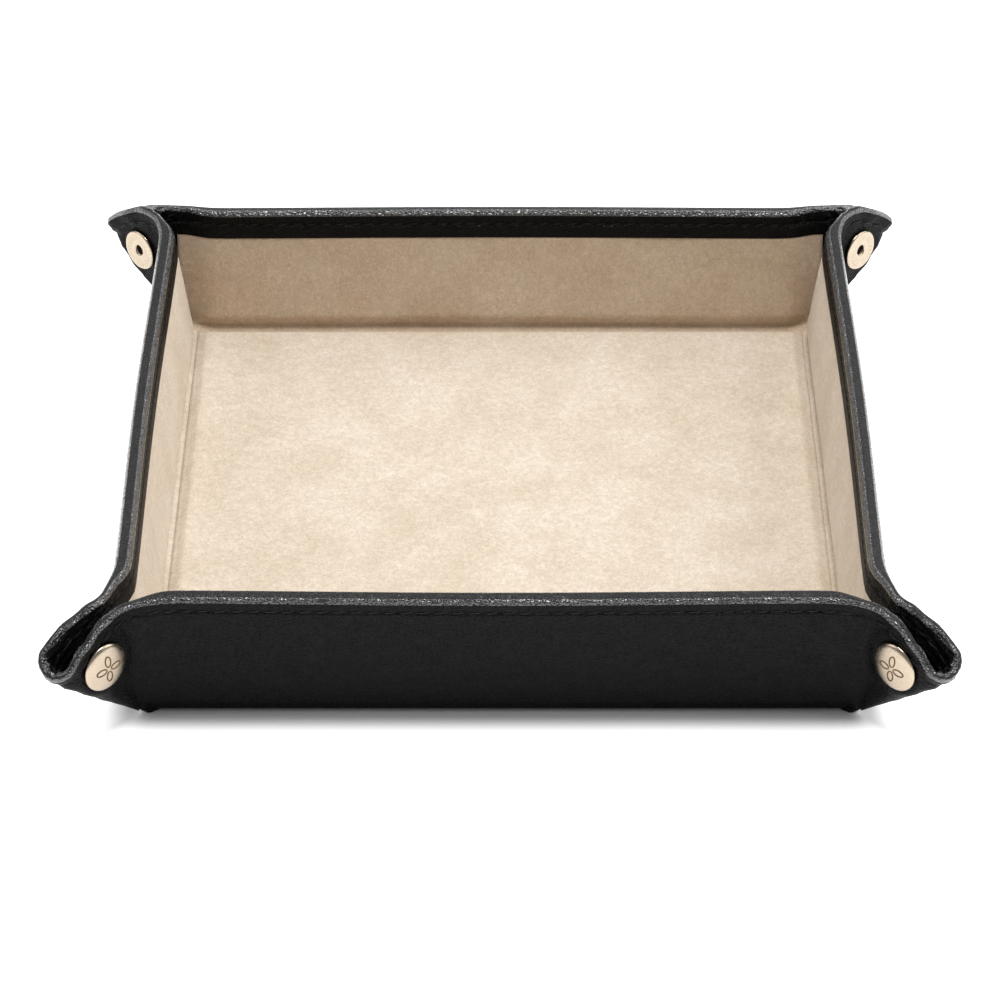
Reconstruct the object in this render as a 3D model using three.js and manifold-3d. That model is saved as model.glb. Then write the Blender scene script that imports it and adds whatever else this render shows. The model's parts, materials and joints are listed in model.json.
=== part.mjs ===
// Snap-cornered leather tray: a padded base, four hinged walls, and four pinched corner ears.
// Millimetres, +Z up. The origin is the middle of the underside; the front wall faces -Y.
import * as THREE from 'three';
import { mergeVertices } from 'three/addons/utils/BufferGeometryUtils.js';
import Module from 'manifold-3d';

const wasm = await Module();
wasm.setup();

// Driving dimensions
const HALF_BASE = 87.5; // from the middle to each wall's crease
const WALL_LENGTH = 37.7; // up the slope of a wall's outer face, crease to rim
const WALL_LEAN = THREE.MathUtils.degToRad(8); // walls lean outwards from upright
const GAP = 0.3; // between pieces that touch
const LEATHER = 1.0; // leather thickness
const BOARD_BOTTOM = 1.3; // stiffening board's depth range below the outer face
const BOARD_TOP = 2.5;
const LINING_BOTTOM = 2.9; // suede lining's depth range
const THICKNESS = 3.8; // whole wall or base
const HEM = 8; // leather turned over the rim and down the inside
const CHANNEL = 4.5; // soft strip without board beside a crease
const BOARD_END = 7; // wall boards stop this far short of the walls' ends
const BOARD_CORNER = 4; // chamfer across the base board's corners
const LINING_END = 0.2; // wall linings stop this far short of the leather
const EDGE_ROUNDING = 0.8; // chamfer along a wall's rim
const OUTLINE_SHIFT = 4; // rounded corner's centre, inside the base's corner
const NOSE = THREE.MathUtils.degToRad(8.5); // the ear's half width, as an angle at the base's corner
const EAR_RISE = THREE.MathUtils.degToRad(40.852); // slope of the ear's ridge
const EAR_FOOT = 17; // ear leather starts this far from the base's corner
const FACING_FOOT = 25; // and its facing this far, where the ear is wide enough
const FACING_BOTTOM = 1.35; // black facing inside each ear layer, as a depth range
const FACING_TOP = 2.15;
const SNAP_ALONG = 25; // snap's centre, along the ear's ridge
const SNAP_ACROSS = 8.5; // snap's centre, from the ridge towards the wall
const FACING_TRIM = 1.5; // and set back from the ear's edge
const EAR_GAP = 0.6; // between a wall's end and its ear
const FLAP_GAP = 1.4; // between a side wall's end and the flap, which swings past it
const NOSE_GAP = 1.0; // between the two layers and the ear's nose
const EAR_STEPS = 8; // straight lengths round an ear's outline
const SNAP_FACE = 3.9; // outer leather face at the snap, from the ear's middle plane
const SEGMENTS = 20; // round a snap

// Snap profiles: [radius, height above the ear's middle plane], on the snap's axis
const POST = 1.6; // cap's post radius
const POST_END = 1.1;
const POST_HOLE = 2.0;
const CAP_RADIUS = 6.25;
const SOCKET_RADIUS = 4.9;
const SOCKET_TOP = 1.3;
const STUD_BORE = 1.95;
const EYELET_BORE = 1.35;
const EYELET_RADIUS = 5.7;
const SEAT_CLEARANCE = 0.35; // round the cap and the socket
const CAP = [
  [0, 5.9], [2.2, 5.75], [4.4, 5.3], [5.7, 4.75], [CAP_RADIUS, 4.2], [6.0, SNAP_FACE],
  [POST, SNAP_FACE], [POST, POST_END], [0, POST_END],
];
const SOCKET = [
  [2.75, -0.7], [3.6, -0.7], [3.9, -0.4], [3.9, 0.6], [SOCKET_RADIUS, 0.8], [SOCKET_RADIUS, SOCKET_TOP],
  [2.0, SOCKET_TOP], [2.0, 0.9], [2.75, 0.9], [2.75, 0.1], [3.3, 0.1], [3.3, -0.45], [2.75, -0.45],
];
const SPRING = [[2.65, -0.35], [3.1, -0.35], [3.1, 0], [2.65, 0]];
const STUD = [
  [STUD_BORE, -1.45], [4.6, -1.45], [4.6, -1.0], [2.25, -1.0], [2.2, -0.1], [2.35, 0.2], [2.3, 0.45],
  [2.1, 0.6], [STUD_BORE, 0.6],
];
const EYELET = [
  [EYELET_BORE, -1.0], [EYELET_BORE, -4.5], [1.8, -4.75], [3.4, -4.8], [5.2, -4.7], [EYELET_RADIUS, -4.3],
  [5.5, -SNAP_FACE], [1.65, -SNAP_FACE], [1.65, -1.0],
];

const MATERIALS = {
  leather: { color: 0x1c1c1c, roughness: 0.45, metalness: 0 },
  lining: { color: 0xe6d3b8, roughness: 0.95, metalness: 0 },
  board: { color: 0x9a8f80, roughness: 0.9, metalness: 0 },
  metal: { color: 0xdcc8ae, roughness: 0.25, metalness: 1 },
  steel: { color: 0xb8b8b8, roughness: 0.35, metalness: 1 },
};

const tray = new THREE.Group();

function addNode(name, geometry, finish) {
  const mesh = new THREE.Mesh(geometry, new THREE.MeshStandardMaterial(MATERIALS[finish]));
  mesh.name = name;
  tray.add(mesh);
}

// Booleans
function toSolid(geometry) {
  const bare = geometry.clone();
  bare.deleteAttribute('normal');
  bare.deleteAttribute('uv');
  const merged = mergeVertices(bare, 1e-4);
  const vertProperties = new Float32Array(merged.attributes.position.array);
  const triVerts = new Uint32Array(merged.index.array);
  return new wasm.Manifold(new wasm.Mesh({ numProp: 3, vertProperties, triVerts }));
}

function toGeometry(solid) {
  const mesh = solid.getMesh();
  const geometry = new THREE.BufferGeometry();
  geometry.setAttribute('position', new THREE.BufferAttribute(mesh.vertProperties, 3));
  geometry.setIndex(new THREE.BufferAttribute(mesh.triVerts, 1));
  return geometry;
}

// Moves a geometry, and turns its faces round where the move mirrors it.
function moved(geometry, matrix) {
  const result = geometry.clone().applyMatrix4(matrix);
  if (matrix.determinant() > 0) {
    return result;
  }
  const flat = result.index ? result.toNonIndexed() : result;
  const position = flat.attributes.position;
  const corner = new THREE.Vector3();
  const other = new THREE.Vector3();
  for (let i = 0; i < position.count; i += 3) {
    corner.fromBufferAttribute(position, i);
    other.fromBufferAttribute(position, i + 1);
    position.setXYZ(i, other.x, other.y, other.z);
    position.setXYZ(i + 1, corner.x, corner.y, corner.z);
  }
  return flat;
}

// A closed outline of [x, y] points, pushed along its normal.
function prism(points, depth) {
  const shape = new THREE.Shape(points.map(([x, y]) => new THREE.Vector2(x, y)));
  return new THREE.ExtrudeGeometry(shape, { depth, bevelEnabled: false });
}

// Base: stacked plates whose edges are mitred to meet the walls.
const MITRE = Math.tan((Math.PI / 2 + WALL_LEAN) / 2); // rise per run of the mitre between base and wall

function mitre(depth) {
  return depth / MITRE + GAP;
}

// A square plate between two heights, with a mitred edge and corners cut off at 45 degrees.
function plate(lower, upper, setback, chamfer) {
  const ring = (half) => [
    [half - chamfer, -half], [half, -half + chamfer], [half, half - chamfer], [half - chamfer, half],
    [-half + chamfer, half], [-half, half - chamfer], [-half, -half + chamfer], [-half + chamfer, -half],
  ];
  const bottom = ring(HALF_BASE - setback(lower));
  const top = ring(HALF_BASE - setback(upper));
  const geometry = new THREE.BufferGeometry();
  const corners = [];
  bottom.forEach(([x, y]) => corners.push(x, y, lower));
  top.forEach(([x, y]) => corners.push(x, y, upper));
  const faces = [];
  const count = bottom.length;
  for (let i = 0; i < count; i += 1) {
    const next = (i + 1) % count;
    faces.push(i, next, count + next, i, count + next, count + i);
    if (i > 0 && i < count - 1) {
      faces.push(0, i + 1, i, count, count + i, count + i + 1);
    }
  }
  geometry.setAttribute('position', new THREE.Float32BufferAttribute(corners, 3));
  geometry.setIndex(faces);
  return geometry;
}

addNode('base_leather', plate(0, LEATHER, mitre, 0.5), 'leather');
addNode('base_board', plate(BOARD_BOTTOM, BOARD_TOP, () => CHANNEL, BOARD_CORNER), 'board');
addNode('base_lining', plate(LINING_BOTTOM, THICKNESS, mitre, 0.5), 'lining');

// Walls. A section's points are [depth below the outer face, distance up the slope].
const SECTIONS = {
  leather: [
    [0, mitre(0)], [LEATHER, mitre(LEATHER)], [LEATHER, WALL_LENGTH - LEATHER],
    [THICKNESS - LEATHER, WALL_LENGTH - LEATHER], [THICKNESS - LEATHER, WALL_LENGTH - HEM],
    [THICKNESS, WALL_LENGTH - HEM], [THICKNESS, WALL_LENGTH - EDGE_ROUNDING],
    [THICKNESS - EDGE_ROUNDING, WALL_LENGTH], [EDGE_ROUNDING, WALL_LENGTH], [0, WALL_LENGTH - EDGE_ROUNDING],
  ],
  board: [
    [BOARD_BOTTOM, CHANNEL], [BOARD_TOP, CHANNEL],
    [BOARD_TOP, WALL_LENGTH - LEATHER - GAP], [BOARD_BOTTOM, WALL_LENGTH - LEATHER - GAP],
  ],
  lining: [
    [LINING_BOTTOM, mitre(LINING_BOTTOM)], [THICKNESS, mitre(THICKNESS)],
    [THICKNESS, WALL_LENGTH - HEM - GAP], [LINING_BOTTOM, WALL_LENGTH - HEM - GAP],
  ],
};

const MARGIN = 20; // beyond the wall all round

// The wall on the +Y side, ending at `end` and, inside, at the corner's diagonal plane.
function wallPiece(section, end) {
  const long = prism(SECTIONS[section], 2 * HALF_BASE);
  // Section x runs inwards from the outer face, and section y runs up the slope.
  const inward = new THREE.Vector3(0, -Math.cos(WALL_LEAN), Math.sin(WALL_LEAN));
  const upward = new THREE.Vector3(0, Math.sin(WALL_LEAN), Math.cos(WALL_LEAN));
  const along = new THREE.Vector3().crossVectors(inward, upward);
  const basis = new THREE.Matrix4().makeBasis(inward, upward, along);
  basis.setPosition(-along.x * HALF_BASE, HALF_BASE, 0);
  const keep = prism([
    [-end, HALF_BASE + MARGIN], [-end, HALF_BASE], [-end + MARGIN, HALF_BASE - MARGIN],
    [end - MARGIN, HALF_BASE - MARGIN], [end, HALF_BASE], [end, HALF_BASE + MARGIN],
  ], 3 * MARGIN);
  keep.translate(0, 0, -MARGIN);
  return toGeometry(toSolid(long.applyMatrix4(basis)).intersect(toSolid(keep)));
}

// Quarter turns take the +Y wall to each side. Ends stay clear of the ear layers beside them.
const WALLS = [
  { name: 'back', turn: 0, end: HALF_BASE - GAP },
  { name: 'front', turn: Math.PI, end: HALF_BASE - GAP },
  { name: 'left', turn: Math.PI / 2, end: HALF_BASE - 4 * GAP },
  { name: 'right', turn: -Math.PI / 2, end: HALF_BASE - 4 * GAP },
];
for (const { name, turn, end } of WALLS) {
  const placed = (section, inset) => wallPiece(section, end - inset).applyMatrix4(
    new THREE.Matrix4().makeRotationZ(turn));
  addNode(`${name}_wall_leather`, placed('leather', 0), 'leather');
  addNode(`${name}_wall_board`, placed('board', BOARD_END), 'board');
  addNode(`${name}_wall_lining`, placed('lining', LINING_END), 'lining');
}

// Corner frame: origin at the base's corner, X and Y outwards, Z up.
const wallEdge = new THREE.Vector3(0, Math.sin(WALL_LEAN), Math.cos(WALL_LEAN));
const ridge = new THREE.Vector3(
  Math.cos(EAR_RISE) * Math.SQRT1_2, Math.cos(EAR_RISE) * Math.SQRT1_2, Math.sin(EAR_RISE));
const across = new THREE.Vector3(
  -Math.sin(EAR_RISE) * Math.SQRT1_2, -Math.sin(EAR_RISE) * Math.SQRT1_2, Math.cos(EAR_RISE));
const outward = new THREE.Vector3(-Math.SQRT1_2, Math.SQRT1_2, 0);
const noseMiddle = ridge.clone().multiplyScalar(Math.cos(NOSE)).addScaledVector(across, Math.sin(NOSE));
const noseSide = noseMiddle.clone().multiplyScalar(Math.cos(NOSE)).addScaledVector(outward, Math.sin(NOSE));
const layerSide = noseSide.clone().addScaledVector(wallEdge, -noseSide.dot(wallEdge)).normalize();
const layerNormal = new THREE.Vector3().crossVectors(wallEdge, layerSide);
const layerAngle = wallEdge.angleTo(noseSide);

// How far the rounded outline is from the base's corner, at an angle from the wall's end.
function outlineRadius(angle) {
  const shift = OUTLINE_SHIFT * (Math.sin(angle) + Math.cos(angle));
  const radius = WALL_LENGTH + OUTLINE_SHIFT;
  return -shift + Math.sqrt(shift * shift - 2 * OUTLINE_SHIFT * OUTLINE_SHIFT + radius * radius);
}

// One layer of an ear: a flat sector between two depths below its outer face.
function earLayer(lower, upper, foot, startGap, trim) {
  const start = startGap / WALL_LENGTH;
  const finish = layerAngle - NOSE_GAP / WALL_LENGTH;
  const clear = startGap / 2;
  const points = [];
  for (let i = 0; i <= EAR_STEPS; i += 1) {
    const angle = start + ((finish - start) * i) / EAR_STEPS;
    const reach = outlineRadius(angle) - trim;
    points.push([reach * Math.cos(angle), reach * Math.sin(angle) + clear]);
  }
  for (let i = EAR_STEPS; i >= 0; i -= 1) {
    const angle = start + ((finish - start) * i) / EAR_STEPS;
    points.push([foot * Math.cos(angle), foot * Math.sin(angle) + clear]);
  }
  const sector = prism(points, upper - lower);
  const facesOut = layerNormal.dot(outward) > 0;
  sector.translate(0, 0, facesOut ? -upper : lower);
  return sector.applyMatrix4(new THREE.Matrix4().makeBasis(wallEdge, layerSide, layerNormal));
}

// A round piece on the snap's axis. Profile points are [radius, height above the ear's middle plane].
function snapPiece(profile) {
  const points = profile.map(([radius, height]) => new THREE.Vector2(radius, height));
  const turned = new THREE.LatheGeometry(points, SEGMENTS);
  const basis = new THREE.Matrix4().makeBasis(
    new THREE.Vector3().crossVectors(outward, ridge), outward, ridge);
  basis.setPosition(ridge.clone().multiplyScalar(SNAP_ALONG).addScaledVector(across, SNAP_ACROSS));
  return turned.applyMatrix4(basis);
}

// A solid round cutter on the snap's axis.
function cutter(radius, low, high) {
  return toSolid(snapPiece([[0, low], [radius, low], [radius, high], [0, high]]));
}

const closed = (profile) => [...profile, profile[0]];

// Each layer is cut back where the snap's parts lie against or pass through it.
const FAR = 9; // beyond the leather on either side
const postHole = cutter(POST_HOLE, 0.5, FAR);
const capSeat = cutter(CAP_RADIUS + SEAT_CLEARANCE, SNAP_FACE - GAP, FAR);
const socketSeat = cutter(SOCKET_RADIUS + GAP, -3, SOCKET_TOP + GAP);
const mirrorPlane = new THREE.Matrix4().makeBasis(
  new THREE.Vector3(0, 1, 0), new THREE.Vector3(1, 0, 0), new THREE.Vector3(0, 0, 1));
const seats = [postHole, capSeat, socketSeat];

function earPiece(lower, upper, foot, startGap, trim) {
  let solid = toSolid(earLayer(lower, upper, foot, startGap, trim));
  for (const seat of seats) {
    solid = solid.subtract(seat);
  }
  return toGeometry(solid);
}

function earFacing(startGap) {
  return earPiece(FACING_BOTTOM, FACING_TOP, FACING_FOOT, startGap, FACING_TRIM);
}

// The wall-side layer carries the cap; the other layer is its mirror image and carries the stud.
const CORNER_PIECES = [
  ['ear_leather', earPiece(0, LEATHER, EAR_FOOT, EAR_GAP, 0), 'leather', false],
  ['ear_facing', earFacing(EAR_GAP), 'leather', false],
  ['flap_leather', earPiece(0, LEATHER, EAR_FOOT, FLAP_GAP, 0), 'leather', true],
  ['flap_facing', earFacing(FLAP_GAP), 'leather', true],
  ['snap_cap', snapPiece([...CAP].reverse()), 'metal', false],
  ['snap_socket', snapPiece(closed(SOCKET)), 'metal', false],
  ['snap_spring', snapPiece(closed(SPRING)), 'steel', false],
  ['snap_stud', snapPiece(closed(STUD)), 'metal', false],
  ['snap_eyelet', snapPiece(closed(EYELET)), 'metal', false],
];
const CORNERS = [
  ['front_left', -1, -1],
  ['front_right', 1, -1],
  ['back_left', -1, 1],
  ['back_right', 1, 1],
];
for (const [corner, sideX, sideY] of CORNERS) {
  const place = new THREE.Matrix4().makeScale(sideX, sideY, 1);
  place.setPosition(sideX * HALF_BASE, sideY * HALF_BASE, 0);
  for (const [name, geometry, finish, mirrored] of CORNER_PIECES) {
    const matrix = mirrored ? place.clone().multiply(mirrorPlane) : place;
    addNode(`${corner}_${name}`, moved(geometry, matrix), finish);
  }
}

export default tray;
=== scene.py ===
# Looks for the snap-cornered leather tray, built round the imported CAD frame. Lengths are worked out in
# millimetres and turned into metres when a mesh is made.
import json
import math
import random

import bmesh
import bpy
import numpy as np
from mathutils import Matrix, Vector


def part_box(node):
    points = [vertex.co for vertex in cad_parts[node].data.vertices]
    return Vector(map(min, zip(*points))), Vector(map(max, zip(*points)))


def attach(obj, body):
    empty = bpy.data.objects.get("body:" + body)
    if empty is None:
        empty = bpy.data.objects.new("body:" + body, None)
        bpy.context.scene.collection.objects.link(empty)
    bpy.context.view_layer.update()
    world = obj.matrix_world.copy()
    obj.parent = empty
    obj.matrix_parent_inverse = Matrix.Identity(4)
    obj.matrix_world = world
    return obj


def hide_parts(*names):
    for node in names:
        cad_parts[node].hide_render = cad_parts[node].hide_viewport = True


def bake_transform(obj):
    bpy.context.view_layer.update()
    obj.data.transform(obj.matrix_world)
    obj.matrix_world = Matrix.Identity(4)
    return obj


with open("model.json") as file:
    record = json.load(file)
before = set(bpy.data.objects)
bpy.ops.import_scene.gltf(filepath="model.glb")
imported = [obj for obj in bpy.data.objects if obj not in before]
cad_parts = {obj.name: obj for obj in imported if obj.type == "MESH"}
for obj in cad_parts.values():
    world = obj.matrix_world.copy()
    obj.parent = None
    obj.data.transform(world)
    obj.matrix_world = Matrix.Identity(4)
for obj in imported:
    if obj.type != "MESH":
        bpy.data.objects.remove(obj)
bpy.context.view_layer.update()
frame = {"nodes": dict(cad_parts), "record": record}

MM = 0.001
rng = random.Random(7)

# Driving sizes, from the frame and in millimetres
JOINTS = {joint["name"]: joint for joint in frame["record"]["behaviour"]["joints"]}
HALF = -JOINTS["front_wall_fold"]["pos_m"][1] / MM  # middle to crease
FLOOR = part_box("base_lining")[1][2] / MM  # top of the lined floor
LEAN = math.atan2(*(abs(v) for v in JOINTS["front_left_ear_bend"]["axis"][1:]))  # of the walls, outwards
RISE = math.asin(abs(JOINTS["front_left_flap_fold"]["axis"][2]))  # of the ears' ridges, from level
LENGTH = 37.7  # up a wall's outer face
THICK = 3.8  # of a padded wall
EAR_THICK = 2.2  # of one layer of an ear
HEM = 8.0  # leather turned down inside the rim
CHANNEL = 4.5  # soft strip without a board beside each crease
FOOT = 1.8  # where a wall's skin takes over from the crease's
SHIFT = 4.0  # how far the outline's rounded corner is moved in
NOSE = math.radians(8.5)  # angle taken by the rounded fold along the ridge
SNAP_U = 25.0  # the snap's middle, along the ridge
SNAP_V = 8.5  # and above it
SNAP_FACE = 3.85  # from the corner's middle plane to the leather under the snap
BOW = 0.9  # the walls bow outwards at the middle of the rim
FLARE = 2.2  # and flare where they turn into the ears
FLARE_RUN = 12.0
FLARE_SLOPE = 2 * FLARE / FLARE_RUN
NOSE_EXTRA = 1.0  # the ear's leather stands a little past the sheet's outline at the nose
FLAP_EXTRA = 1.6
STITCH_LINE = 4.0  # below the rim
GROOVE = 0.42  # depth of the sewn line
GROOVE_WIDTH = 0.45
SLANT = 0.22  # each stitch leans across the line
PITCH = 4.0
STITCH_GAP = 0.35  # from a stitch's end to its hole


def vec(*values):
    return np.array(values, float)


def unit(v):
    return v / np.linalg.norm(v)


def smooth(low, high, x):
    t = min(1.0, max(0.0, (x - low) / (high - low)))
    return t * t * (3 - 2 * t)


# Corner frame: origin at the base's corner, X and Y outwards, Z up. The ear's front layer is on the +Y side.
EDGE = unit(vec(0, math.sin(LEAN) + FLARE / LENGTH, math.cos(LEAN)))
RIDGE = vec(math.cos(RISE) / math.sqrt(2), math.cos(RISE) / math.sqrt(2), math.sin(RISE))
ACROSS = vec(-math.sin(RISE) / math.sqrt(2), -math.sin(RISE) / math.sqrt(2), math.cos(RISE))
OUT = vec(-1, 1, 0) / math.sqrt(2)
NOSE_MID = math.cos(NOSE) * RIDGE + math.sin(NOSE) * ACROSS
NOSE_SIDE = math.cos(NOSE) * NOSE_MID + math.sin(NOSE) * OUT


def spaced(low, high, count):
    return [low + (high - low) * k / (count - 1) for k in range(count)]


def bezier(points, t):
    a, b, c, d = points
    s = 1 - t
    return s**3 * a + 3 * s * s * t * b + 3 * s * t * t * c + t**3 * d


LAYER = (EDGE, EDGE + vec(0.17, 0.17 * FLARE_SLOPE, 0), NOSE_SIDE + 0.30 * ACROSS, NOSE_SIDE)
BEND = 0.5523 * math.sin(NOSE)
TURN = (NOSE_SIDE, NOSE_SIDE - BEND * ACROSS, RIDGE * math.cos(NOSE * 0.2) + BEND * OUT, RIDGE)


def ear_direction(t):
    """Direction from the corner: t runs 0 at the wall's end, 1 where the nose starts, 2 at the ridge."""
    return unit(bezier(LAYER, t) if t <= 1 else bezier(TURN, t - 1))


# Arc angle along the ear, for the cut outline
STEPS = 200
ARC = [0.0]
for step in range(1, STEPS + 1):
    before = ear_direction(2 * (step - 1) / STEPS)
    after = ear_direction(2 * step / STEPS)
    ARC.append(ARC[-1] + math.acos(min(1.0, float(before @ after))))


def arc_at(t):
    place = t / 2 * STEPS
    low = min(STEPS - 1, int(place))
    return ARC[low] + (ARC[low + 1] - ARC[low]) * (place - low)


def outline(angle):
    """Distance from the base's corner to the rounded outline of the cut sheet."""
    shift = SHIFT * (math.sin(angle) + math.cos(angle))
    return -shift + math.sqrt(shift**2 - 2 * SHIFT**2 + (LENGTH + SHIFT) ** 2)


class Station:
    """One place along the rim: where its section starts, its directions, length and thickness."""

    def __init__(self, foot, up, inward, length, start, wall, root, lined):
        self.foot, self.up, self.inward = foot, up, inward
        self.length, self.start, self.root = length, start, root
        self.wall = wall  # 1 where the section is a padded wall's, 0 where it is an ear's
        self.lined = lined  # 1 where suede covers the section below the hem

    def thick(self, a):
        """Thickness at a height up the section."""
        thin = min(EAR_THICK, self.root + 0.082 * a)
        soft = 2.0 + (THICK - 2.0) * smooth(1.5, CHANNEL + 1.5, a)
        return thin + (soft - thin) * self.wall

    def at(self, a, b):
        """The point at a height up the section and a depth inwards."""
        return self.foot + self.up * a + self.inward * b


def wall_station(x):
    """x runs along the wall from its middle; the wall is the +Y one, in the corner frame."""
    near = HALF - abs(x)
    reach = LENGTH
    if near < SHIFT:
        reach = -SHIFT + math.sqrt((LENGTH + SHIFT) ** 2 - (SHIFT - near) ** 2)
    foot = vec(x - HALF, 0, 0)
    shift = BOW * math.cos(math.pi * x / (2 * HALF)) ** 2 + FLARE * max(0.0, 1 - near / FLARE_RUN) ** 2
    up = unit(vec(0, math.sin(LEAN) + shift / LENGTH, math.cos(LEAN)))
    turn = math.copysign(FLARE_SLOPE * max(0.0, 1 - near / FLARE_RUN), x)
    inward = unit(np.cross(vec(1, turn, 0), up))
    return Station(foot, up, inward, reach, FOOT, smooth(0.5, 9.0, near), 0.7, 1.0)


def ear_station(t, flap=False):
    """t is as in ear_direction."""
    up = ear_direction(t)
    ahead = ear_direction(min(2.0, t + 0.01)) - ear_direction(max(0.0, t - 0.01))
    inward = unit(np.cross(unit(ahead), up))
    length = outline(arc_at(t)) + NOSE_EXTRA * smooth(0.3, 1.2, t)
    if flap:
        length += FLAP_EXTRA * smooth(0.05, 0.5, t) * (1 - smooth(0.8, 1.9, t))
    start = FOOT - (FOOT - 1.0) * smooth(0, 0.3, t)
    root = 0.7 - 0.7 * smooth(0, 0.5, t)
    lined = 1 - smooth(0, 0.15, t)
    return Station(vec(0, 0, 0), up, inward, length, start, 0.0, root, lined)


def press_snap(point, inner):
    """Leather is pinched flat under the snap."""
    u, v, o = point @ RIDGE, point @ ACROSS, point @ OUT
    away = math.hypot(u - SNAP_U, v - SNAP_V)
    hold = 1 - smooth(5.2, 12.0, away)
    if hold <= 0 or abs(o) < 0.2:
        return point
    target = 1.5 if inner else SNAP_FACE - 0.15
    swell = 0.35 * smooth(6.4, 7.6, away) * (1 - smooth(7.6, 11.0, away))
    target = math.copysign(target + (0 if inner else swell), o)
    return point + OUT * (target - o) * hold


def snap_folds(point):
    """Folds that run out from a snap."""
    u, v = point @ RIDGE - SNAP_U, point @ ACROSS - SNAP_V
    away, turn = math.hypot(u, v), math.atan2(v, u)
    ring = smooth(6.6, 9.0, away) * (1 - smooth(11.0, 20.0, away))
    return ring * (0.16 * math.sin(9 * turn + 0.12 * away) + 0.10 * math.sin(5 * turn + 1.0 + 0.25 * away))


def crinkle(point, amount):
    """Small soft folds, from a few fixed waves."""
    x, y, z = point
    wave = (math.sin(0.9 * x + 1.7 * y + 2.1 * z) + math.sin(2.3 * x - 1.1 * y + 0.6 * z + 1.3)
            + 0.6 * math.sin(3.1 * z + 2.7 * y - 1.9 * x))
    return amount * wave


# Points in a section: up to the sewn line, up to the rim, over it, down the hem, and down the inside
SECTION_LOW = 20
SECTION_OUT = 36
SECTION_RIM = 11
SECTION_HEM = 18
SECTION_IN = 22


def rim_roll(a, top, amount):
    """The leather swells a little between the sewn line and the rim."""
    return amount * math.sin(math.pi * min(1.0, max(0.0, (a - top + STITCH_LINE) / STITCH_LINE)))


def groove(a, top):
    """Depth of the sewn line's groove at a height up a section."""
    return GROOVE * math.exp(-(((a - (top - STITCH_LINE)) / GROOVE_WIDTH) ** 2))


def section(station):
    """The section's closed outline as (height, depth, inner), up the outside and down the inside."""
    top = station.length
    points = []
    rounding = 1.15 * station.wall + 0.95 * (1 - station.wall)
    turnover = top - STITCH_LINE - 1.6
    heights = spaced(station.start, turnover - 0.4, SECTION_LOW)
    heights += spaced(turnover, top - rounding, SECTION_OUT - SECTION_LOW)
    for a in heights:
        pad = -0.25 * math.sin(math.pi * min(1, a / top)) * station.wall
        points.append((a, groove(a, top) + pad - rim_roll(a, top, 0.22), False))
    thick = station.thick(top)
    flat = thick / 2 - rounding
    for k in range(1, SECTION_RIM + 1):
        turn = math.pi * k / (SECTION_RIM + 1)
        side = 1 if turn > math.pi / 2 else -1
        b = thick / 2 + side * flat - rounding * math.cos(turn)
        if 2 * k == SECTION_RIM + 1:
            b = thick / 2
        a = top - rounding + rounding * math.sin(turn)
        points.append((a, b, turn > math.pi / 2))
    hem_end = top - HEM
    for a in spaced(top - rounding, hem_end, SECTION_HEM):
        lift = 0.15 * smooth(0, 2, a - hem_end) * station.wall
        points.append((a, station.thick(a) + lift + rim_roll(a, top, 0.12) - groove(a, top), True))
    step = 0.75 * station.lined
    points.append((hem_end - 0.12, station.thick(hem_end) - step * 0.5, True))
    points.append((hem_end, station.thick(hem_end) - step, True))
    for k in range(SECTION_IN):
        a = hem_end + (station.start - hem_end) * k / (SECTION_IN - 1)
        b = station.thick(a) - step - 0.3 * station.lined
        points.append((a, max(b, 0.35 * station.lined), True))
    return points


def place_section(station, ear_amount):
    """A section's points in the corner frame. ear_amount is 0 on a wall and rises to 1 on an ear."""
    row = []
    for a, b, inner in section(station):
        point = station.at(a, b)
        if ear_amount > 0:
            point = press_snap(point, inner)
            rough = crinkle(point, (0.20 if inner else 0.05) * ear_amount * smooth(4, 14, a))
            rough += snap_folds(point) * ear_amount * smooth(4, 12, a)
            point = point + station.inward * rough
        row.append(point)
    return row


# Moves between the corner frame and the tray's
CORNERS = {"front_left": (-1, -1), "front_right": (1, -1), "back_left": (-1, 1), "back_right": (1, 1)}


def corner_place(side_x, side_y, swap):
    def place(point):
        x, y, z = (point[1], point[0], point[2]) if swap else point
        return vec(side_x * (HALF + x), side_y * (HALF + y), z)

    return place


WALL_TURNS = {"back": 0, "front": 2, "left": 1, "right": 3}


def wall_place(wall):
    turns = WALL_TURNS[wall]

    def place(point):
        x, y, z = point[0] + HALF, point[1] + HALF, point[2]
        for _ in range(turns):
            x, y = -y, x
        return vec(x, y, z)

    return place


def make_mesh(name, points, faces, material, shine=None):
    """A smooth mesh from points in millimetres. shine gives each face's leather, as rim_part says."""
    mesh = bpy.data.meshes.new(name)
    mesh.from_pydata([tuple(p * MM) for p in points], [], faces)
    mesh.materials.append(material)
    if shine:
        mesh.materials.append(POLISHED)
        mesh.materials.append(RIM_TOP)
        mesh.polygons.foreach_set("material_index", shine)
    thing = bpy.data.objects.new(name, mesh)
    bpy.context.scene.collection.objects.link(thing)
    work = bmesh.new()
    work.from_mesh(mesh)
    bmesh.ops.remove_doubles(work, verts=work.verts, dist=1e-6)
    bmesh.ops.recalc_face_normals(work, faces=work.faces)
    work.to_mesh(mesh)
    work.free()
    for polygon in mesh.polygons:
        polygon.use_smooth = True
    return thing


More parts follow.
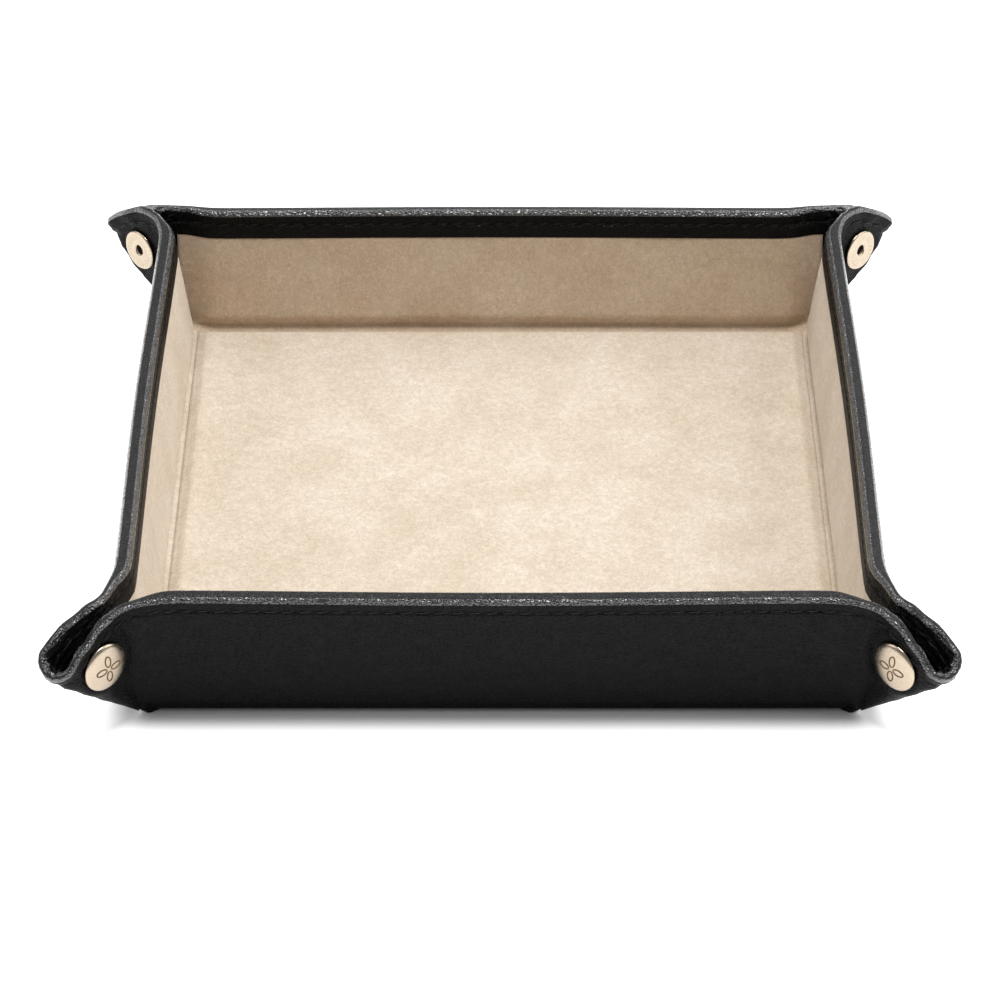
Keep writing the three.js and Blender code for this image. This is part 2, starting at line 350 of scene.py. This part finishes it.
def sweep(name, rows, material, closed=True, caps=False, rim=False):
    """A skin over rows of points. Closed rows are rings. With a rim, rim_part gives each face's leather."""
    points = [p for row in rows for p in row]
    count = len(rows[0])
    faces = []
    for i in range(len(rows) - 1):
        for j in range(count if closed else count - 1):
            k = (j + 1) % count
            faces.append((i * count + j, i * count + k, (i + 1) * count + k, (i + 1) * count + j))
    if caps:
        faces.append(tuple(range(count)))
        last = (len(rows) - 1) * count
        faces.append(tuple(last + j for j in reversed(range(count))))
    shine = None
    if rim:
        ends = [sorted((face[0] % count, face[1] % count)) for face in faces]
        shine = [rim_part(low, high) for low, high in ends]
    return make_mesh(name, points, faces, material, shine=shine)


def rim_part(low, high):
    """Which leather a strip of the section wears: 0 plain, 1 the polished shoulders, 2 the rim's flat top."""
    if low < SECTION_OUT - 1 or high > SECTION_OUT + SECTION_RIM + 1:
        return 0
    return 2 if low in (SECTION_OUT + 4, SECTION_OUT + 5) else 1


# Materials. Their textures are laid in object space, in metres, so a scale is in cells per metre.
WHITE = (1, 1, 1)


def new_material(name):
    material = bpy.data.materials.new(name)
    material.use_nodes = True
    nodes, links = material.node_tree.nodes, material.node_tree.links
    shader = next(n for n in nodes if n.type == "BSDF_PRINCIPLED")
    place = nodes.new("ShaderNodeTexCoord")
    return material, nodes, links, shader, place.outputs["Object"]


def texture(nodes, links, place, kind, scale, **values):
    node = nodes.new(kind)
    links.new(place, node.inputs["Vector"])
    node.inputs["Scale"].default_value = scale
    for key, value in values.items():
        node.inputs[key].default_value = value
    return node


def ramp(nodes, links, source, stops):
    """A colour ramp over a texture, from (position, colour) stops."""
    node = nodes.new("ShaderNodeValToRGB")
    links.new(source, node.inputs["Fac"])
    elements = node.color_ramp.elements
    while len(elements) < len(stops):
        elements.new(0.5)
    for element, (where, colour) in zip(elements, stops):
        element.position = where
        element.color = (*colour, 1)
    return node.outputs["Color"]


def bump(nodes, links, height, strength, distance, before=None):
    """A bump, its distance in metres, on top of the one before."""
    node = nodes.new("ShaderNodeBump")
    node.inputs["Strength"].default_value = strength
    node.inputs["Distance"].default_value = distance
    links.new(height, node.inputs["Height"])
    if before is not None:
        links.new(before, node.inputs["Normal"])
    return node.outputs["Normal"]


def leather_material(name, rough, level, coat):
    """Black leather: grain cells, pores and soft folds. level is its specular level, coat its polish."""
    material, nodes, links, shader, place = new_material(name)
    cells = texture(nodes, links, place, "ShaderNodeTexVoronoi", 1100)
    cells.feature = "DISTANCE_TO_EDGE"
    grain = ramp(nodes, links, cells.outputs["Distance"], [(0.0, (0, 0, 0)), (0.35, WHITE)])
    pores = texture(nodes, links, place, "ShaderNodeTexNoise", 2600, Detail=6.0)
    folds = texture(nodes, links, place, "ShaderNodeTexNoise", 260, Detail=5.0, Roughness=0.6)
    tone = ramp(nodes, links, folds.outputs["Fac"], [(0.3, BLACK), (0.75, WORN_BLACK)])
    links.new(tone, shader.inputs["Base Color"])
    shine = ramp(nodes, links, pores.outputs["Fac"], [(0.3, (rough - 0.1,) * 3), (0.7, (rough + 0.12,) * 3)])
    links.new(shine, shader.inputs["Roughness"])
    normal = bump(nodes, links, folds.outputs["Fac"], 0.5, 0.0008)
    normal = bump(nodes, links, grain, 0.8, 0.0002, normal)
    normal = bump(nodes, links, pores.outputs["Fac"], 0.5, 0.00015, normal)
    links.new(normal, shader.inputs["Normal"])
    links.new(normal, shader.inputs["Coat Normal"])
    shader.inputs["Specular IOR Level"].default_value = level
    shader.inputs["Coat Weight"].default_value = coat
    shader.inputs["Coat Roughness"].default_value = 0.2
    return material


def suede_material(name, light, dark):
    """Suede: broad mottling under brushed patches, flecks and fine fibres."""
    material, nodes, links, shader, place = new_material(name)
    mottle = texture(nodes, links, place, "ShaderNodeTexNoise", 55, Detail=4.0, Roughness=0.55)
    fibre = texture(nodes, links, place, "ShaderNodeTexNoise", 1500, Detail=8.0, Roughness=0.75)
    brush = texture(nodes, links, place, "ShaderNodeTexNoise", 240, Detail=6.0, Roughness=0.7)
    fleck = texture(nodes, links, place, "ShaderNodeTexNoise", 620, Detail=5.0, Roughness=0.8)
    mixed = ramp(nodes, links, mottle.outputs["Fac"], [(0.32, dark), (0.62, light)])
    layers = (
        (fibre, [(0.33, (0.80, 0.76, 0.71)), (0.60, WHITE)]),
        (brush, [(0.35, (0.94, 0.92, 0.90)), (0.65, WHITE)]),
        (fleck, [(0.42, (0.93, 0.92, 0.91)), (0.68, (1.12, 1.12, 1.12))]),
    )
    for source, stops in layers:
        node = nodes.new("ShaderNodeMix")
        node.data_type = "RGBA"
        node.blend_type = "MULTIPLY"
        node.inputs["Factor"].default_value = 1.0
        links.new(mixed, node.inputs[6])
        links.new(ramp(nodes, links, source.outputs["Fac"], stops), node.inputs[7])
        mixed = node.outputs[2]
    links.new(mixed, shader.inputs["Base Color"])
    shader.inputs["Roughness"].default_value = 0.95
    shader.inputs["Specular IOR Level"].default_value = 0.1
    shader.inputs["Sheen Weight"].default_value = 0.25
    shader.inputs["Sheen Roughness"].default_value = 0.45
    shader.inputs["Sheen Tint"].default_value = (1.0, 0.93, 0.82, 1)
    normal = bump(nodes, links, fibre.outputs["Fac"], 0.6, 0.0003)
    normal = bump(nodes, links, fleck.outputs["Fac"], 0.6, 0.0005, normal)
    normal = bump(nodes, links, brush.outputs["Fac"], 0.3, 0.0005, normal)
    links.new(normal, shader.inputs["Normal"])
    return material


def metal_material(name, colour, rough):
    """Metal with faint handling marks."""
    material, nodes, links, shader, place = new_material(name)
    scratch = texture(nodes, links, place, "ShaderNodeTexNoise", 900, Detail=5.0)
    dulled = tuple(0.95 * c for c in colour)
    tone = ramp(nodes, links, scratch.outputs["Fac"], [(0.3, dulled), (0.7, colour)])
    links.new(tone, shader.inputs["Base Color"])
    gloss = [(0.3, (rough + 0.06,) * 3), (0.7, (rough - 0.04,) * 3)]
    shine = ramp(nodes, links, scratch.outputs["Fac"], gloss)
    links.new(shine, shader.inputs["Roughness"])
    links.new(bump(nodes, links, scratch.outputs["Fac"], 0.12, 0.00003), shader.inputs["Normal"])
    shader.inputs["Metallic"].default_value = 1.0
    return material


def matt_material(name, light, dark, scale, rough):
    """A dull speckled surface."""
    material, nodes, links, shader, place = new_material(name)
    speck = texture(nodes, links, place, "ShaderNodeTexNoise", scale, Detail=6.0)
    tone = ramp(nodes, links, speck.outputs["Fac"], [(0.35, dark), (0.65, light)])
    links.new(tone, shader.inputs["Base Color"])
    links.new(bump(nodes, links, speck.outputs["Fac"], 0.3, 0.0001), shader.inputs["Normal"])
    shader.inputs["Roughness"].default_value = rough
    shader.inputs["Specular IOR Level"].default_value = 0.3
    return material


BLACK = (0.003, 0.003, 0.003)
WORN_BLACK = (0.006, 0.0058, 0.0056)
LEATHER = leather_material("black_leather", 0.45, 0.04, 0.1)
POLISHED = leather_material("polished_edge", 0.26, 0.8, 1.0)
RIM_TOP = leather_material("rim_leather", 0.4, 0.25, 0.1)
SUEDE = suede_material("suede_lining", (0.72, 0.645, 0.55), (0.65, 0.565, 0.46))
# The back wall's lining is a darker, warmer copy of the suede. This is painted shade for the back wall's
# inner face, which faces away from the lights.
SHADED_BACK_SUEDE = suede_material("suede_lining_painted_shade", (0.665, 0.55, 0.43), (0.605, 0.48, 0.36))
METAL = metal_material("pale_plated_metal", (0.50, 0.415, 0.32), 0.24)
ENGRAVING = matt_material("brown_engraving", (0.20, 0.11, 0.04), (0.12, 0.065, 0.025), 1500, 0.5)
STEEL = metal_material("spring_steel", (0.6, 0.6, 0.6), 0.3)
BOARD = matt_material("grey_board", (0.35, 0.29, 0.22), (0.25, 0.2, 0.15), 900, 0.9)
THREAD = matt_material("black_thread", (0.006, 0.006, 0.006), (0.002, 0.002, 0.002), 3000, 0.6)


# Leather pieces
WALL_BODIES = {wall: f"{wall}_wall" for wall in WALL_TURNS}
END_STRIP = 9.0  # stretch of wall that bends into its ear
HINGE = 0.25  # half the width of the fold along an ear's ridge


def wall_rows(place, low, high, count):
    return [[place(p) for p in place_section(wall_station(x), 0)] for x in spaced(low, high, count)]


for wall, body in WALL_BODIES.items():
    carries_ear = wall in ("front", "back")
    end = HALF - (END_STRIP if carries_ear else 0)
    skin = sweep(f"{wall}_wall_skin", wall_rows(wall_place(wall), -end, end, 61), LEATHER, rim=True)
    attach(skin, body)
    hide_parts(f"{wall}_wall_leather")

# Each ear has a near layer, on the front or back wall's side, and a far layer, the flap, on the side wall's
LAST_SECTION = 0.4  # from the wall's last section to its end
MIDDLE = 0.5  # where a layer's pieces meet, as t of ear_direction
for corner, (side_x, side_y) in CORNERS.items():
    ear, flap = f"{corner}_ear", f"{corner}_flap"
    near = corner_place(side_x, side_y, False)
    far = corner_place(side_x, side_y, True)

    def ear_rows(place, low, high, count):
        sections = [
            place_section(ear_station(t, place is far), smooth(0.0, 0.3, t)) for t in spaced(low, high, count)
        ]
        return [[place(p) for p in section_row] for section_row in sections]

    # from the wall, round its end, to the middle of the first layer
    rows = wall_rows(near, HALF - END_STRIP, HALF - LAST_SECTION, 10)
    rows += ear_rows(near, 0.0, MIDDLE, 22)[1:]
    bend = sweep(f"{ear}_bend_skin", rows, LEATHER, rim=True)
    start = near(vec(-2.5, 0, 20))
    finish = near(vec(2.0, 1.0, 20))
    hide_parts(f"{ear}_facing")
    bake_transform(bend)
    # round the nose, from the middle of one layer to the middle of the other
    rows = ear_rows(near, MIDDLE, 2.0, 44)
    rows += ear_rows(far, 2.0, MIDDLE, 44)[1:]
    nose = sweep(f"{ear}_nose_skin", rows, LEATHER, rim=True)
    start = near(RIDGE * SNAP_U + OUT * HINGE)
    finish = near(RIDGE * SNAP_U - OUT * HINGE)
    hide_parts(f"{ear}_leather", f"{flap}_leather")
    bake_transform(nose)
    # the other layer, back to the side wall
    side = sweep(f"{flap}_skin", ear_rows(far, MIDDLE, 0.0, 22), LEATHER, rim=True)
    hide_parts(f"{flap}_facing")
    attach(side, flap)


# Creases: the outer leather turns from the base up each wall
CREASE_THICK = 1.0
CREASE_REACH = 2.6  # in under the base


def crease_profile():
    """Section of the strip that turns from the base up the +Y wall, in its corner frame."""
    outside = []
    inside = []
    base = vec(0, -CREASE_REACH, 0)
    knee = vec(0, 0, 0)
    up = vec(0, math.sin(LEAN), math.cos(LEAN)) * FOOT * 1.15
    for t in spaced(0, 1, 13):
        p = (1 - t) ** 2 * base + 2 * t * (1 - t) * knee + t * t * up
        tangent = unit(2 * (1 - t) * (knee - base) + 2 * t * (up - knee))
        inward = vec(0, -tangent[2], tangent[1])
        outside.append(p)
        inside.append(p + inward * CREASE_THICK)
    return outside + inside[::-1]


for wall, body in WALL_BODIES.items():
    place = wall_place(wall)
    end = HALF - 0.3
    rows = [[place(p + vec(x - HALF, 0, 0)) for p in crease_profile()] for x in spaced(-end, end, 40)]
    strip = sweep(f"{wall}_crease_leather", rows, LEATHER, caps=True)
    tuple(place(vec(-HALF, -2.0, 0)) * MM)
    tuple(place(vec(-HALF, 0.1, 1.5)) * MM)
    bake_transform(strip)


def slab(name, half, high, radius, material, count=60):
    """A square sheet lying on the ground with softened edges and rounded corners."""
    rows = []
    for z, inset in ((0.0, 0.3), (0.0, 0.0), (high - 0.4, 0.0), (high, 0.5)):
        ring = []
        reach = half - inset
        straight = 2 * (reach - radius)
        total = straight + math.pi / 2 * radius
        for k in range(4 * count):
            quarter, step = divmod(k, count)
            d = step / count * total
            if d < straight:
                x, y = reach, -(reach - radius) + d
            else:
                turn = (d - straight) / radius
                x = reach - radius + radius * math.cos(turn)
                y = reach - radius + radius * math.sin(turn)
            for _ in range(quarter):
                x, y = -y, x
            ring.append(vec(x, y, z))
        rows.append(ring)
    return sweep(name, rows, material, caps=True)


def gather(name, middle, radius, height, place):
    """The small knot of leather where two walls and an ear meet the base: a ribbed dome."""
    rows = []
    for k in range(33):
        turn = 2 * math.pi * k / 32
        row = []
        for j in range(9):
            rise = math.pi / 2 * j / 8
            reach = radius * math.cos(rise) * (1 + 0.05 * math.sin(5 * turn)) + 0.001
            row.append(place(vec(middle + reach * math.cos(turn), middle + reach * math.sin(turn),
                                 height * math.sin(rise))))
        rows.append(row)
    return sweep(name, rows, LEATHER, closed=False)


for corner, (side_x, side_y) in CORNERS.items():
    knot = gather(f"{corner}_gather", -2.1, 2.5, 1.9, corner_place(side_x, side_y, False))
    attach(knot, "base")

bottom = slab("base_leather_panel", HALF - 2.4, 1.0, 1.0, LEATHER)
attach(bottom, "base")
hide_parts("base_leather")


# Suede: a floor and four walls, each a padded panel that dips into the soft channel beside the crease
def panel_height(distance, full, dip):
    """Surface height at a distance from the crease."""
    return dip + (full - dip) * smooth(CHANNEL - 1.0, CHANNEL + 2.2, distance)


def thicken(thing, depth):
    """Gives a sheet its thickness, away from the side its faces look to."""
    solid = thing.modifiers.new("thickness", "SOLIDIFY")
    solid.thickness = depth * MM
    solid.offset = -1
    bpy.context.view_layer.objects.active = thing
    thing.select_set(True)
    bpy.ops.object.modifier_apply(modifier=solid.name)
    thing.select_set(False)


def graded(half, count):
    """Places from -half to half, closer together near the ends."""
    dense = 12
    edge = [half - dense * (k / 14) for k in range(15)]
    middle = spaced(dense - half, half - dense, count)
    return [-e for e in edge][:-1] + middle + edge[::-1][1:]


FLOOR_HALF = HALF - 3.4
FLOOR_EDGE = 2.2  # height of the floor's suede in the channel
places = graded(FLOOR_HALF, 60)
rows = []
for x in places:
    row = []
    for y in places:
        gap_x, gap_y = HALF - abs(x), HALF - abs(y)
        near_edge = min(gap_x, gap_y)
        corner_gap = min(near_edge, math.hypot(gap_x, gap_y) - 2.0)
        z = panel_height(corner_gap, FLOOR, FLOOR_EDGE)
        z += 0.12 * math.exp(-(((near_edge - CHANNEL - 2.6) / 1.2) ** 2))
        z += 0.05 * math.sin(x / 17 + 1.0) * math.sin(y / 23)
        row.append(vec(x, y, z))
    rows.append(row)
floor_lining = sweep("floor_suede", rows, SUEDE, closed=False)
if floor_lining.data.polygons[0].normal.z < 0:
    floor_lining.data.flip_normals()
thicken(floor_lining, 0.8)
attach(floor_lining, "base")
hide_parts("base_lining")

LINING_LOW = 3.0  # up the wall, where the channel ends
LINING_HIGH = LENGTH - HEM + 1.4  # tucked under the hem
LONG_LINING = HALF + 0.9  # half the length of the front and back walls' linings
SHORT_LINING = HALF - 0.8  # and of the side walls', which stop behind them
LINING_FOOT = HALF - 1.7  # half its length at the crease, where the corners are cut back


def lining_row(share, half):
    """From under the floor's edge, round the channel and up the wall. share runs from -1 to 1 along it."""
    row = []
    for a in spaced(LINING_LOW, LINING_HIGH, 36):
        x = share * (half - (half - LINING_FOOT) * (1 - smooth(3, 16, a)))
        station = wall_station(x)
        end_gap = HALF - abs(x)
        soft = math.hypot(min(a, 13) - 13, min(end_gap, 11) - 11)
        b = station.thick(a) - 0.12
        b -= 0.7 * station.wall * (1 - smooth(CHANNEL - 1.0, CHANNEL + 1.8, a))
        b -= 0.9 * smooth(9.5, 13.5, soft) * station.wall
        b -= 0.45 * smooth(LINING_HIGH - 1.6, LINING_HIGH, a)
        b += 0.05 * math.sin(x / 9 + a / 5)
        row.append(station.at(a, max(0.95, b)))
    station = wall_station(share * LINING_FOOT)
    top = row[0]
    low = vec(top[0], -4.8, 1.75)
    knee = vec(top[0], -2.6 + 0.6 * (1 - station.wall), 1.7)
    channel = []
    for k in range(8):
        t = k / 8
        channel.append((1 - t) ** 2 * low + 2 * t * (1 - t) * knee + t * t * top)
    return channel + row


for wall, body in WALL_BODIES.items():
    place = wall_place(wall)
    half = LONG_LINING if wall in ("front", "back") else SHORT_LINING
    rows = [[place(p) for p in lining_row(x / half, half)] for x in graded(half, 60)]
    # the back wall wears the copy of the suede darkened with painted shade
    lining = sweep(f"{wall}_suede", rows, SHADED_BACK_SUEDE if wall == "back" else SUEDE, closed=False)
    inward = place(vec(-HALF, -1, 0)) - place(vec(-HALF, 0, 0))
    if np.array(lining.data.polygons[len(lining.data.polygons) // 2].normal) @ inward < 0:
        lining.data.flip_normals()
    thicken(lining, 0.5)
    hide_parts(f"{wall}_wall_lining")
    tuple(place(vec(-HALF, -4.2, 1.6)) * MM)
    tuple(place(vec(-HALF, -1.8, 3.4)) * MM)
    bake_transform(lining)


# Stitches: short threads that dip at both ends, along the rim outside and inside
def stitch(points, faces, start, end, normal):
    """Adds one plump thread to a mesh, from hole to hole, leaning across the line."""
    along = end - start
    length = np.linalg.norm(along)
    along = along / length
    side = np.cross(along, normal)
    rings, count = 6, 6
    base = len(points)
    for i in range(rings):
        t = i / (rings - 1)
        lift = 0.34 * math.sin(math.pi * t) ** 0.6 - 0.2
        radius = 0.3 * (0.5 + 0.5 * math.sin(math.pi * t) ** 0.5)
        centre = start + along * length * t + normal * lift * 0.6 + side * SLANT * (1 - 2 * t)
        for j in range(count):
            turn = 2 * math.pi * j / count
            points.append(centre + radius * (math.cos(turn) * side + math.sin(turn) * normal))
    for i in range(rings - 1):
        for j in range(count):
            k = (j + 1) % count
            a = base + i * count
            faces.append((a + j, a + k, a + count + k, a + count + j))
    faces.append(tuple(base + j for j in reversed(range(count))))
    last = base + (rings - 1) * count
    faces.append(tuple(last + j for j in range(count)))


def rim_point(station, outside, ear_amount):
    """A place on the sewn line's groove, and the way out of the leather there."""
    a = station.length - STITCH_LINE
    if outside:
        b = GROOVE - 0.25 * math.sin(math.pi * a / station.length) * station.wall
    else:
        b = station.thick(a) + 0.15 * station.wall - GROOVE
    point = station.at(a, b)
    if ear_amount > 0:
        point = press_snap(point, not outside)
    normal = -station.inward if outside else station.inward
    return point, normal


def stitch_run(name, stations, place, body):
    """Stitches along a run of close stations, given as (station, ear amount)."""
    for outside in (True, False):
        path = [rim_point(s, outside, amount) for s, amount in stations]
        spots = [np.array(place(p)) for p, _ in path]
        normals = [unit(np.array(place(p + n)) - np.array(place(p))) for p, n in path]
        total = [0.0]
        for i in range(1, len(spots)):
            total.append(total[-1] + np.linalg.norm(spots[i] - spots[i - 1]))
        count = max(1, round(total[-1] / PITCH))
        pitch = total[-1] / count

        def along_path(distance):
            i = min(len(total) - 2, max(0, int(np.searchsorted(total, distance)) - 1))
            t = (distance - total[i]) / (total[i + 1] - total[i])
            return spots[i] + (spots[i + 1] - spots[i]) * t, normals[i]

        points, faces = [], []
        for k in range(count):
            first, normal = along_path(k * pitch + STITCH_GAP + rng.uniform(-0.08, 0.08))
            second, _ = along_path((k + 1) * pitch - STITCH_GAP + rng.uniform(-0.08, 0.08))
            stitch(points, faces, first, second, normal)
        piece = make_mesh(f"{name}_{'outer' if outside else 'inner'}_stitches", points, faces, THREAD)
        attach(piece, body)


for wall, body in WALL_BODIES.items():
    end = HALF - (3.0 if wall in ("front", "back") else 0.5)
    run = [(wall_station(x), 0) for x in spaced(-end, end, 350)]
    stitch_run(body, run, wall_place(wall), body)
for corner, (side_x, side_y) in CORNERS.items():
    for part, flap in (("ear", False), ("flap", True)):
        run = [(ear_station(t, flap), smooth(0, 0.3, t)) for t in spaced(0.08, 1.45, 90)]
        stitch_run(f"{corner}_{part}", run, corner_place(side_x, side_y, flap), f"{corner}_{part}")


# Snaps: turned metal pieces on the snap's axis
SNAP_CENTRE = RIDGE * SNAP_U + ACROSS * SNAP_V


def snap_point(radius, turn, height):
    """A point by its radius and turn about the snap's axis, and its height from the corner's middle plane."""
    sideways = np.cross(OUT, RIDGE)
    return SNAP_CENTRE + OUT * height + radius * (math.cos(turn) * RIDGE + math.sin(turn) * sideways)


def turned(name, profile, place, material, loop=False, count=64, ripple=None):
    """A profile of (radius, height) turned about the snap's axis."""
    rows = []
    for k in range(count):
        turn = 2 * math.pi * k / count
        row = []
        for radius, height in profile:
            extra = ripple(radius, turn) if ripple else 0
            row.append(place(snap_point(radius, turn, height + extra)))
        rows.append(row)
    rows.append(rows[0])
    return sweep(name, rows, material, closed=loop)


def cut_corners(points, steps):
    """Smooths a profile by cutting its corners."""
    for _ in range(steps):
        cut = [points[0]]
        for (r0, h0), (r1, h1) in zip(points, points[1:]):
            cut.append((0.75 * r0 + 0.25 * r1, 0.75 * h0 + 0.25 * h1))
            cut.append((0.25 * r0 + 0.75 * r1, 0.25 * h0 + 0.75 * h1))
        points = cut + [points[-1]]
    return points


# The domed cap with its post, the socket that holds the ring spring, the stud that clicks into it, and the
# eyelet that rivets the stud on. The cap's side is up.
CAP_TOP = 5.85
CAP = cut_corners(
    [(0.001, CAP_TOP), (3.0, 5.7), (5.2, 5.25), (6.2, 4.75), (6.28, 4.2), (5.9, 3.75), (4.5, 3.8)], 2)
CAP += [(1.6, 3.8), (1.6, 1.1), (0.001, 1.1)]
SOCKET = [
    (2.75, -0.7), (3.6, -0.7), (3.85, -0.55), (3.9, -0.3), (3.9, 0.55), (4.1, 0.75), (4.8, 0.8), (4.95, 1.05),
    (4.8, 1.3), (2.0, 1.3), (2.0, 0.9), (2.75, 0.9), (2.75, 0.1), (3.3, 0.1), (3.3, -0.45), (2.75, -0.45),
]
SPRING = [(2.9 + 0.2 * math.cos(a), -0.18 + 0.15 * math.sin(a)) for a in spaced(0, 1.75 * math.pi, 8)]
STUD = [
    (1.95, -1.45), (4.5, -1.45), (4.65, -1.22), (4.5, -1.0), (2.4, -1.0), (2.2, -0.8), (2.18, -0.2),
    (2.33, 0.1), (2.35, 0.3), (2.2, 0.55), (2.05, 0.62), (1.95, 0.55),
]
EYELET = [
    (1.35, -1.0), (1.35, -4.2), (1.5, -4.5), (1.9, -4.68), (2.4, -4.6), (2.9, -4.42), (3.4, -4.45),
    (4.6, -4.62), (5.1, -4.72), (5.5, -4.6), (5.72, -4.3), (5.6, -3.95), (5.2, -3.8), (1.65, -3.8),
    (1.65, -1.0),
]


def tick_ripple(radius, turn):
    """Plain tick marks round the eyelet's flange."""
    if not 3.2 < radius < 4.9:
        return 0
    return 0.12 if math.cos(24 * turn) > 0.2 else 0


def rosette(name, place):
    """Four petals engraved in the cap's top."""
    points, faces = [], []

    def ribbon(path, width, depth=0.12):
        base = len(points)
        for i, (x, y) in enumerate(path):
            x0, y0 = path[max(0, i - 1)]
            x1, y1 = path[min(len(path) - 1, i + 1)]
            d = math.hypot(x1 - x0, y1 - y0)
            nx, ny = -(y1 - y0) / d * width / 2, (x1 - x0) / d * width / 2
            for sign in (1, -1):
                px, py = x + sign * nx, y + sign * ny
                r = math.hypot(px, py)
                top = CAP_TOP - 0.0165 * r**2 + 0.03
                for drop in (0, depth):
                    points.append(place(snap_point(r, math.atan2(py, px), top - drop)))
        for i in range(len(path) - 1):
            a, b = base + 4 * i, base + 4 * (i + 1)
            faces.extend([(a, b, b + 2, a + 2), (a + 1, a + 3, b + 3, b + 1), (a, a + 1, b + 1, b),
                          (a + 2, b + 2, b + 3, a + 3)])
        end = base + 4 * (len(path) - 1)
        faces.extend([(base, base + 2, base + 3, base + 1), (end, end + 1, end + 3, end + 2)])

    for quarter in range(4):
        turn = quarter * math.pi / 2 + math.pi / 4
        petal = []
        for k in range(25):
            t = 2 * math.pi * k / 25
            along, wide = 2.15 + 1.45 * math.cos(t), 0.8 * math.sin(t)
            x = along * math.cos(turn) - wide * math.sin(turn)
            y = along * math.sin(turn) + wide * math.cos(turn)
            petal.append((x, y))
        petal.append(petal[0])
        ribbon(petal, 0.34)
    return make_mesh(name, points, faces, ENGRAVING)


for corner, (side_x, side_y) in CORNERS.items():
    place = corner_place(side_x, side_y, False)
    ear, flap = f"{corner}_ear", f"{corner}_flap"
    ticked = {"count": 192, "ripple": tick_ripple}
    pieces = [
        ("cap", CAP, METAL, False, {}, ear, "snap_metal"),
        ("socket", SOCKET, METAL, True, {}, ear, "snap_metal"),
        ("spring", SPRING, STEEL, True, {}, ear, "spring_steel"),
        ("stud", STUD, METAL, True, {}, flap, "snap_metal"),
        ("eyelet", EYELET, METAL, True, ticked, flap, "snap_metal"),
    ]
    for kind, profile, material, loop, options, body, slot in pieces:
        piece = turned(f"{corner}_{kind}", profile, place, material, loop=loop, **options)
        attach(piece, body)
        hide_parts(f"{corner}_snap_{kind}")
    mark = rosette(f"{corner}_cap_rosette", place)
    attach(mark, ear)

# The boards stay as the CAD made them, hidden inside
for node in frame["nodes"]:
    if node.endswith("_board"):
        bpy.data.objects[node].data.materials.clear()
        bpy.data.objects[node].data.materials.append(BOARD)

# Floor, light and camera
ground = bpy.data.meshes.new("ground")
ground.from_pydata([(-4, -4, 0), (4, -4, 0), (4, 4, 0), (-4, 4, 0)], [], [(0, 1, 2, 3)])
stage_floor = bpy.data.objects.new("stage_floor", ground)
stage_floor.location.z = -0.0002
bpy.context.scene.collection.objects.link(stage_floor)
# The stage floor is evenly pale and also glows. This is painted light: it starts a little way out from the
# tray's foot and washes the tray's shadows out to white beyond there, leaving the contact shadow next to the
# tray.
pale = matt_material("glowing_pale_floor", (0.93, 0.93, 0.93), (0.92, 0.92, 0.92), 3, 0.9)
pale_nodes, pale_links = pale.node_tree.nodes, pale.node_tree.links
pale_shader = next(n for n in pale_nodes if n.type == "BSDF_PRINCIPLED")
spot = pale_nodes.new("ShaderNodeTexCoord")
parts = pale_nodes.new("ShaderNodeSeparateXYZ")
pale_links.new(spot.outputs["Object"], parts.inputs[0])
reach = pale_nodes.new("ShaderNodeMath")
reach.operation = "MAXIMUM"
for i in range(2):
    size = pale_nodes.new("ShaderNodeMath")
    size.operation = "ABSOLUTE"
    pale_links.new(parts.outputs[i], size.inputs[0])
    pale_links.new(size.outputs[0], reach.inputs[i])
# painted glow: none within 2 mm of the tray's outline, rising to full strength 9 mm out
glow = pale_nodes.new("ShaderNodeMapRange")
glow.interpolation_type = "SMOOTHSTEP"
glow.inputs["From Min"].default_value = (HALF + 2.0) * MM
glow.inputs["From Max"].default_value = (HALF + 9.0) * MM
glow.inputs["To Max"].default_value = 0.55
pale_links.new(reach.outputs[0], glow.inputs["Value"])
pale_links.new(glow.outputs["Result"], pale_shader.inputs["Emission Strength"])
pale_shader.inputs["Emission Color"].default_value = (1, 1, 1, 1)
ground.materials.append(pale)


def area_light(name, place, aim, size, power):
    data = bpy.data.lights.new(name, "AREA")
    data.shape = "RECTANGLE"
    data.size, data.size_y = size
    data.energy = power
    lamp = bpy.data.objects.new(name, data)
    lamp.location = place
    lamp.rotation_euler = (Vector(aim) - Vector(place)).to_track_quat("-Z", "Y").to_euler()
    bpy.context.scene.collection.objects.link(lamp)


area_light("key_light", (0.08, 0.0, 1.2), (0, 0, 0), (0.5, 0.34), 11.0)
area_light("back_light", (0.2, 1.3, 0.95), (0, 0, 0), (2.2, 1.0), 8.0)
area_light("right_light", (1.15, 0.25, 0.85), (0, 0, 0), (1.4, 1.1), 12.0)
area_light("left_light", (-1.15, 0.25, 0.85), (0, 0, 0), (1.4, 1.1), 7.2)

world = bpy.data.worlds.new("soft_white")
bpy.context.scene.world = world
world.use_nodes = True
background = world.node_tree.nodes["Background"]
background.inputs["Color"].default_value = (1, 1, 1, 1)
background.inputs["Strength"].default_value = 0.28

FOCAL = 4.027  # focal length over image width
ELEVATION = math.radians(34.35)
DISTANCE = 1.053
camera_data = bpy.data.cameras.new("camera")
camera_data.sensor_width = 36
camera_data.lens = 36 * FOCAL
camera_data.shift_y = 0.0086
camera = bpy.data.objects.new("camera", camera_data)
camera.location = (0, -DISTANCE * math.cos(ELEVATION), DISTANCE * math.sin(ELEVATION))
camera.rotation_euler = (math.pi / 2 - ELEVATION, 0, 0)
bpy.context.scene.collection.objects.link(camera)
bpy.context.scene.camera = camera
bpy.context.scene.view_settings.view_transform = "Standard"
